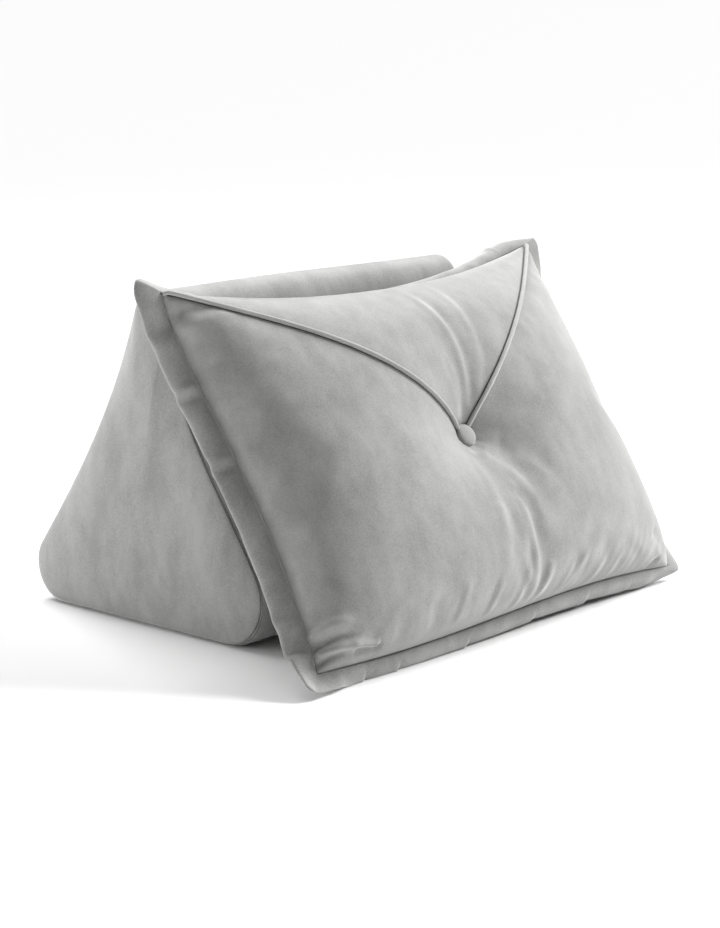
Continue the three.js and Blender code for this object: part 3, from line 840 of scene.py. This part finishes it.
lift = np.zeros_like(U)
for fold in [*FOLDS.values(), *GATHERS]:
    lift += fold_height(smooth_front, U, V, fold)
lift *= 1 - np.exp(-((v_distance / FOLDS_END_AT_V) ** 2))
lift += tuft_pleats(U, V)
lift -= V_SEAM_DIP * np.exp(-((v_distance / V_SEAM_WIDTH) ** 2))
at_seam = np.clip(front_height(S, T) / SEAM_RISE, 0, 1)
free = at_seam * (1 - np.exp(-((v_distance / BUCKLES_END_AT_V) ** 2)))
free *= 1 - np.exp(-((np.hypot(U, V - BUTTON_V) / BUCKLES_END_AT_BUTTON) ** 4))
left_run, right_run = v_seam(-1), v_seam(1)
v_height = np.where(
    U < 0, np.interp(U, left_run[:, 0], left_run[:, 1]),
    np.interp(U, right_run[::-1, 0], right_run[::-1, 1]))
free *= np.where(V > v_height, TOP_CALM, FRONT_CALM)
front = smooth_front + buckles * free[..., None] + front_normals * (lift * at_seam)[..., None]

below = (V < v_height) & (U < 0) | (V > v_height) & (U > 0)
# Distances for the painted shade beside the cord and at the outer seam, carried to the velvet as
# seam_mm.
v_painted_shade = v_distance - np.where(below, V_PAINTED_SHADE_LOW, V_PAINTED_SHADE_HIGH)
rim_distance = np.minimum(front_height(S, T), NO_SEAM)
pillow = cloth_object(
    "velvet_pillow", np.concatenate([front.reshape(-1, 3), smooth_back.reshape(-1, 3)]),
    pillow_faces(ROWS, COLUMNS), PILLOW_VELVET,
    np.concatenate([np.minimum(v_painted_shade, rim_distance).ravel(), np.full(S.size, NO_SEAM)]))

# %% [markdown]
# The border is the two panels again, stitched flat together outside the seam, so it is double
# cloth with a rounded folded edge and rounded corners. It stands out stiffly from the filled
# part and turns back towards the wedge, more at the top and bottom than at the sides. Where the
# seam eases it, it laps over itself in short pleats, and the low left corner, pushed against
# the ground, is turned forward. A strip that follows the seam step by step gives all that.

# %% Border
BORDER_WIDTH = 25.0
BORDER_THICKNESS = 3.0
CORNER_REACH = 30.0
# radius of the rounded outer corners, by the side (-1 left, 1 right) and end (-1 low, 1 high)
CORNER_ROUND = {(-1, -1): 13.0, (1, -1): 13.0, (1, 1): 24.0, (-1, 1): 23.0}
# degrees that the border turns back, at the low end, middle and high end of each side, and how
# close to the corner the turn of the low and the high end stays
BORDER_TURNS = {
    "bottom": (-34, 62, 12, 5, 12),
    "top": (16, 85, 12, 6, 4.2),
    "left": (0, 32, 6, 8, 10),
    "right": (8, 32, -14, 3, 4),
}
# side, place along it in mm, share of the width tucked away there, and reach in mm
NARROWED = [
    ("bottom", -245, 0.3, 22), ("bottom", -275, 0.18, 16), ("bottom", 275, 0.66, 32),
    ("top", 275, 0.65, 20), ("top", -258, 0.16, 14),
]
# side, place along it in mm, change of turn in degrees before and after it (going round from
# the low left corner along the bottom), and how far in mm the change reaches
PLEATS_ROUND = [
    ("bottom", -217, 6, 22, 16),
    ("bottom", -171, -9, 8, 16),
    ("bottom", -66, -10, 9, 20),
    ("bottom", 40, 1, 12, 26),
    ("bottom", 131, -3, 13, 26),
    ("bottom", 205, 6, 12, 22),
    ("top", 238, 5, -6, 9),
    ("left", -170, 7, -10, 14),
    ("right", 60, 5, -5, 20),
]
# side, place along it in mm, height in mm and width in mm of soft waves across the border
WAVES_ROUND = [
    ("left", 163, -3.4, 8), ("left", 146, 2.6, 9), ("left", 101, 3.4, 4.5), ("left", 91, -3.0, 5),
    ("left", 66, 1.8, 12), ("left", 27, 3.0, 5), ("left", 17, -2.8, 6), ("left", -40, 2.0, 12),
    ("left", -92, 1.8, 10), ("left", -132, -3.0, 7), ("left", -148, 2.6, 6),
    ("top", 150, 2.0, 14), ("top", 190, 2.2, 9), ("top", 217, 2.0, 8), ("top", -230, 2.0, 14),
    ("bottom", -120, 1.0, 10), ("bottom", -15, 1.0, 14), ("bottom", 85, 1.2, 12),
    ("bottom", 168, 1.2, 10), ("right", 120, 2.0, 16), ("right", -20, 1.6, 18),
    ("right", -110, -1.6, 14),
]


def seam_walk():
    """s and t once round the seam, anticlockwise, with the steps of the pillow's own grid."""
    low, high = -np.ones(COLUMNS), np.ones(COLUMNS)
    left, right = -np.ones(ROWS), np.ones(ROWS)
    s = np.concatenate([s_line[:-1], right, s_line[:0:-1], left])
    t = np.concatenate([low, t_line[:-1], high, t_line[:0:-1]])
    return s, t


def past_place(side, place, s, t):
    """Distance in mm past a place on a side, going round anticlockwise, and the side's points."""
    u, v = seam_point(s, t)
    on = {"bottom": t < -0.9999, "right": s > 0.9999, "top": t > 0.9999, "left": s < -0.9999}
    along = {"bottom": u, "right": v, "top": -u, "left": -v}
    return along[side] - (-place if side in ("top", "left") else place), on[side]


def side_turn(name, along):
    """Degrees that the border turns back along one side, from -1 to 1."""
    low, middle, high, low_spread, high_spread = BORDER_TURNS[name]
    end = np.where(along > 0, high, low)
    return middle + (end - middle) * np.abs(along) ** np.where(along > 0, high_spread, low_spread)


def border_turn(s, t, across, up):
    """How far the border turns back at each point of the seam, in radians."""
    sides = np.where(s > 0, side_turn("right", t), side_turn("left", t))
    ends = np.where(t > 0, side_turn("top", s), side_turn("bottom", s))
    turn = (across * sides + up * ends) / (across + up)
    for side, place, before, after, reach in PLEATS_ROUND:
        off, on = past_place(side, place, s, t)
        step = np.where(off < 0, before, after) * np.exp(-np.abs(off) / reach)
        turn = turn + np.where(on, step, 0)
    return np.radians(turn)


def border_waves(s, t):
    """Height in mm of the soft waves across the border."""
    total = np.zeros_like(s)
    for side, place, height, width in WAVES_ROUND:
        off, on = past_place(side, place, s, t)
        total += np.where(on, height * np.exp(-((off / width) ** 2)), 0)
    return total


def rounded(across, up, u, v):
    """Reach in mm to the border's outer edge, whose corners are rounded."""
    corner = zip(np.sign(u), np.sign(v))
    radius = np.array([CORNER_ROUND.get((int(i), int(j)), 20.0) for i, j in corner])
    from_side, from_end = HALF_WIDTH - np.abs(u), HALF_HEIGHT - np.abs(v)
    run_side = from_side + BORDER_WIDTH * (1 - across)
    run_end = from_end + BORDER_WIDTH * (1 - up)
    run = np.maximum(run_side, run_end)
    angle = np.radians(45) * np.clip(1 - run / radius, 0, 1)
    inward = radius * (1 - np.sin(angle)) - np.minimum(run, radius)
    drop = radius * (1 - np.cos(angle))
    along_side = run_end >= run_side
    reach_u = across * BORDER_WIDTH - np.where(along_side, drop, inward)
    reach_v = up * BORDER_WIDTH - np.where(along_side, inward, drop)
    return reach_u, reach_v


def border_mesh():
    s, t = seam_walk()
    u, v = seam_point(s, t)
    to_side = np.maximum(0, 1 - (HALF_WIDTH - np.abs(u)) / CORNER_REACH)
    to_end = np.maximum(0, 1 - (HALF_HEIGHT - np.abs(v)) / CORNER_REACH)
    across = np.where(np.abs(s) > 0.9999, 1, to_side ** 2)
    up = np.where(np.abs(t) > 0.9999, 1, to_end ** 2)
    turn = border_turn(s, t, across, up)
    reach_u, reach_v = rounded(across, up, u, v)
    for side, place, share, reach in NARROWED:
        end = 1 if side == "top" else -1
        from_place = np.hypot(u - place, v - end * HALF_HEIGHT)
        reach_v = reach_v * (1 - share * np.exp(-((from_place / reach) ** 2)))
    waves = border_waves(s, t)
    shares = np.concatenate([np.linspace(0, 0.88, 10), [0.92, 0.95, 0.975, 0.992, 1.0]])
    half = BORDER_THICKNESS / 2 * np.interp(
        shares, [0, 0.06, 0.2, 0.88, 0.92, 0.95, 0.975, 0.992, 1],
        [0.75, 0.85, 1, 1.06, 1.02, 0.9, 0.7, 0.42, 0.0])
    rim = [(share, h) for share, h in zip(shares, half)]
    rim += [(share, -h) for share, h in zip(shares[-2::-1], half[-2::-1])]
    ring = []
    for share, offset in rim:
        turned = turn * min(share * 1.6, 1)
        flat = share * np.cos(turn * share) + offset * np.sin(turned) / BORDER_WIDTH
        bulge = share * (0.4 + 2.4 * (1 - share))
        drop = BORDER_WIDTH * share * np.sin(turn * share) - waves * bulge
        w = seam_curl(s, t) - drop + offset * np.cos(turned)
        out_u = np.sign(s) * (GAP * across + reach_u * flat)
        out_v = np.sign(t) * (GAP * up + reach_v * flat)
        ring.append(pillow_point(u + out_u, v + out_v, w))
    points = np.array(ring)
    points[..., 2] = np.maximum(points[..., 2], GAP)
    # Distance to the seam, used by the velvet for painted shade at the seam.
    seam = np.repeat(np.array([share for share, _ in rim]) * BORDER_WIDTH + 0.2, len(s))
    faces = grid_faces(len(rim), len(s), wrap_rows=True, wrap_columns=True)
    return cloth_object(
        "velvet_border", points.reshape(-1, 3), faces, BORDER_VELVET, seam)


border = border_mesh()

# %% [markdown]
# Each run of piping is a round cord seen through its bias strip, half sunk between the panels.
# A ring of points is carried along the line of the seam, square to it and to the cloth.

# %% Piping
PIPING_RADIUS = 2.2
PIPING_SIDES = 16
PIPING_PROUD = 1.5                # height of the cord's middle over the smooth front
PIPING_SUNK, PIPING_TUCK = 3.0, 4.0    # how far its start dives into the corner, and over what run


def piping_mesh(name, side):
    line = v_seam(side, 220, 0.004, 0.985)
    smooth = front_point(line[:, 0], line[:, 1])
    shifted = [front_point(line[:, 0] + du, line[:, 1] + dv) for du, dv in ((1, 0), (0, 1))]
    normal = np.cross(shifted[0] - smooth, shifted[1] - smooth)
    normal /= np.linalg.norm(normal, axis=1, keepdims=True)
    start = np.linalg.norm(smooth - smooth[0], axis=1)
    rise = PIPING_PROUD - PIPING_SUNK * np.exp(-((start / PIPING_TUCK) ** 2))
    spine = smooth + normal * rise[:, None]
    along = np.gradient(spine, axis=0)
    along /= np.linalg.norm(along, axis=1, keepdims=True)
    across = np.cross(along, normal)
    across /= np.linalg.norm(across, axis=1, keepdims=True)
    height = np.cross(across, along)
    walk = np.concatenate([[0], np.linalg.norm(np.diff(spine, axis=0), axis=1).cumsum()])
    swell = 1 + 0.03 * np.sin(walk / 3.1) + 0.03 * np.sin(walk / 7.7 + side)
    angles = np.linspace(0, 2 * np.pi, PIPING_SIDES, endpoint=False)
    rings = (spine[:, None] + PIPING_RADIUS * swell[:, None, None] * (
        np.cos(angles)[None, :, None] * across[:, None]
        + np.sin(angles)[None, :, None] * height[:, None]))
    points = np.concatenate([rings.reshape(-1, 3), spine[:1], spine[-1:]])
    return cloth_object(name, points, tube_faces(len(spine), PIPING_SIDES), PIPING_VELVET)


pipings = [piping_mesh("piping_cord_left", -1), piping_mesh("piping_cord_right", 1)]

# %% [markdown]
# The button is a metal shell with velvet stretched over it: a shallow dome that rolls under at
# its rim. It is turned from a profile, and its cloth is pulled into faint dents at the edge.

# %% Button
BUTTON_RADIUS = 11.7
BUTTON_SEAT = TUFT_FLOOR + 0.4
# distance from the axis and height of the profile, in mm
BUTTON_PROFILE = [
    (0, -2.4), (8.6, -2.4), (10.3, -0.8), (11.3, 0.8), (11.7, 2.2), (11.5, 3.5), (10.7, 4.6),
    (9.0, 5.4), (6.5, 6.0), (3.3, 6.4), (0, 6.5)]


def button_mesh():
    around = 72
    profile, _ = smooth_line(BUTTON_PROFILE, 48)
    profile = profile[1:-1]
    angles = np.linspace(0, 2 * np.pi, around, endpoint=False)
    rows = []
    for reach, height in profile:
        dent = 1 - 0.012 * (reach / BUTTON_RADIUS) ** 6 * (np.cos(9 * angles) + np.sin(14 * angles))
        radius = max(reach, 0.05) * dent
        rows.append(pillow_point(
            radius * np.cos(angles), BUTTON_V + radius * np.sin(angles),
            np.full(around, BUTTON_SEAT + height)))
    low = pillow_point(0, BUTTON_V, BUTTON_SEAT + BUTTON_PROFILE[0][1])
    high = pillow_point(0, BUTTON_V, BUTTON_SEAT + BUTTON_PROFILE[-1][1])
    points = np.concatenate([np.concatenate(rows), [low], [high]])
    return cloth_object(
        "covered_button", points, tube_faces(len(profile), around), BUTTON_VELVET)


button = button_mesh()

# %% [markdown]
# The wrap of the wedge is a skin round the section, carried from end to end. Towards each end
# it rolls over into the seam with the end panel. The filling is never quite even, so the long
# sides carry a slow unevenness and faint gathers run in from the end seams.

# %% Wedge wrap
EDGE_ROLL = 7.0
END_SEAM_INSET = 2.0
END_THICKNESS = 3.0
SECTION_MIDDLE = np.array([10.0, 130.0])


def dense_section(count, base_step=6.0):
    """The section with points along its flat base too."""
    front, back = SECTION[-1], SECTION[0]
    steps = int((back[0] - front[0]) / base_step)
    base = np.stack([np.linspace(front[0], back[0], steps)[1:-1], np.zeros(steps - 2)], 1)
    ring = np.concatenate([SECTION, base])
    closed = np.vstack([ring, ring[:1]])
    length = np.concatenate([[0], np.hypot(*np.diff(closed, axis=0).T).cumsum()])
    at = np.linspace(0, length[-1], count, endpoint=False)
    return np.stack([np.interp(at, length, closed[:, k]) for k in (0, 1)], 1)


AROUND = 260
RING = dense_section(AROUND)
ring_along = np.roll(RING, -1, 0) - np.roll(RING, 1, 0)
ring_along /= np.linalg.norm(ring_along, axis=1, keepdims=True)
RING_OUT = np.stack([ring_along[:, 1], -ring_along[:, 0]], 1)


def slow_waves(x, around, count, low, high):
    """A slow random unevenness over the wrap; around runs from 0 to 2 pi."""
    total = np.zeros(np.broadcast(x, around).shape)
    for _ in range(count):
        turns = rng.integers(1, 6)
        total += rng.uniform(low, high) * np.sin(
            x / rng.uniform(35, 110) + turns * around + rng.uniform(0, 6.28))
    return total


def wedge_wrap():
    half = WEDGE_LENGTH / 2 - END_THICKNESS - GAP
    roll = np.linspace(0, np.pi / 2, 9)
    roll_x = half - EDGE_ROLL * (1 - np.cos(roll))
    roll_inset = END_SEAM_INSET * (1 - np.sin(roll))
    flat = np.linspace(0.25, 0.97, 5)
    middle = np.linspace(roll_x[-1], -roll_x[-1], 110)[1:-1]
    x = np.concatenate([roll_x, middle, -roll_x[::-1]])
    inset = np.concatenate([roll_inset, np.zeros(len(middle)), roll_inset[::-1]])
    around = np.linspace(0, 2 * np.pi, AROUND, endpoint=False)
    uneven = slow_waves(x[:, None], around[None], 8, 0.1, 0.45)
    from_end = half - np.abs(x)
    gathers = np.zeros(AROUND)
    for _ in range(46):
        at = rng.uniform(0, 2 * np.pi)
        off = np.abs((around - at + np.pi) % (2 * np.pi) - np.pi)
        gathers += rng.uniform(-0.8, 0.8) * np.exp(-((off / 0.03) ** 2))
    near_seam = np.exp(-from_end / 16) * np.clip(from_end / 6, 0, 1)
    calm = np.clip(RING[:, 1] / 12, 0, 1)
    behind, below = np.clip((RING[:, 0] + 22) / 30, 0, 1), np.clip((75 - RING[:, 1]) / 30, 0, 1)
    calm *= np.maximum(behind, below)     # the wrap lies smooth where the pillow leans on it
    out = (uneven + gathers[None] * near_seam[:, None]) * calm[None] - inset[:, None]
    ring = RING[None] + out[..., None] * RING_OUT[None]
    ring[..., 1] = np.maximum(ring[..., 1], 0)
    rows = np.concatenate([np.broadcast_to(x[:, None, None], (len(x), AROUND, 1)), ring], 2)
    rim = RING - END_SEAM_INSET * RING_OUT
    caps, cap_rings = [], len(flat)
    for side, order in ((1, flat), (-1, flat[::-1])):
        for share in order:
            at = SECTION_MIDDLE + (rim - SECTION_MIDDLE) * share
            caps.append(np.column_stack([np.full(AROUND, side * half), at]))
    rows = np.concatenate([np.array(caps[:cap_rings]), rows, np.array(caps[cap_rings:])])
    poles = [[half, *SECTION_MIDDLE], [-half, *SECTION_MIDDLE]]
    points = np.concatenate([rows.reshape(-1, 3), poles])
    # Distance to the end seam, used by the velvet for painted shade at the seam.
    seam = np.full(rows.shape[:2], NO_SEAM)
    seam[cap_rings:-cap_rings] = (GAP + half - np.abs(x))[:, None]
    return cloth_object(
        "velvet_wedge_wrap", points, tube_faces(len(rows), AROUND), WEDGE_VELVET,
        np.append(seam, [NO_SEAM, NO_SEAM]))


wedge = wedge_wrap()

# %% [markdown]
# The end panels are cut to the section and swell a little with the filling. Each is a grid of
# rings from its middle to the seam, closed by a flat inner face.

# %% Wedge end panels
END_DOME = 9.0


def end_panel(name, side):
    shares = np.concatenate([np.linspace(0.04, 0.9, 30), np.linspace(0.92, 1.0, 10)])
    around = np.linspace(0, 2 * np.pi, AROUND, endpoint=False)
    rim = RING - END_SEAM_INSET * RING_OUT
    half = WEDGE_LENGTH / 2
    rows, seam = [], []
    dents = [(rng.uniform(-0.7, 0.7), rng.integers(1, 5), rng.uniform(0, 6.28), rng.uniform(2, 5))
             for _ in range(7)]
    for share in shares:
        dome = END_DOME * (1 - share ** 4) - 1.5 * share ** 4
        soft = sum(h * np.sin(n * around + p + f * share) for h, n, p, f in dents)
        tuck = -1.2 * np.exp(-((1 - share) / 0.012))
        at = SECTION_MIDDLE + (rim - SECTION_MIDDLE) * share
        x = side * (half + dome + tuck + soft * share * (1 - share ** 8))
        rows.append(np.column_stack([np.broadcast_to(x, AROUND), at]))
        # Distance to the seam, used by the velvet for painted shade at the seam.
        seam.append(np.linalg.norm(rim - at, axis=1) + GAP)
    for share in (0.995, 0.6, 0.1):
        at = SECTION_MIDDLE + (rim - SECTION_MIDDLE) * share
        rows.append(np.column_stack([np.full(AROUND, side * (half - END_THICKNESS)), at]))
        seam.append(np.full(AROUND, NO_SEAM))
    rows = np.array(rows)
    poles = [[side * (half + END_DOME), *SECTION_MIDDLE],
             [side * (half - END_THICKNESS), *SECTION_MIDDLE]]
    points = np.concatenate([rows.reshape(-1, 3), poles])
    return cloth_object(
        name, points, tube_faces(len(rows), AROUND), WEDGE_VELVET,
        np.append(np.array(seam), [NO_SEAM, NO_SEAM]))


ends = [end_panel("velvet_end_left", -1), end_panel("velvet_end_right", 1)]

# %% [markdown]
# Nothing on the cushion moves by itself, so every piece rides on the one body. Each one stands
# for the plain solid of the same piece, which is hidden.

# %% Tie the pieces to the model
PIECES = {
    "wedge_body": (wedge, "velvet_wedge"),
    "wedge_end_left": (ends[0], "velvet_wedge"),
    "wedge_end_right": (ends[1], "velvet_wedge"),
    "pillow_body": (pillow, "velvet_pillow"),
    "pillow_border": (border, "velvet_border"),
    "piping_left": (pipings[0], "velvet_piping"),
    "piping_right": (pipings[1], "velvet_piping"),
    "tuft_button": (button, "velvet_button"),
}
for node, (piece, slot) in PIECES.items():
    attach(piece, "root")
    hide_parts(node)
print(len(PIECES), "pieces tied to the model")
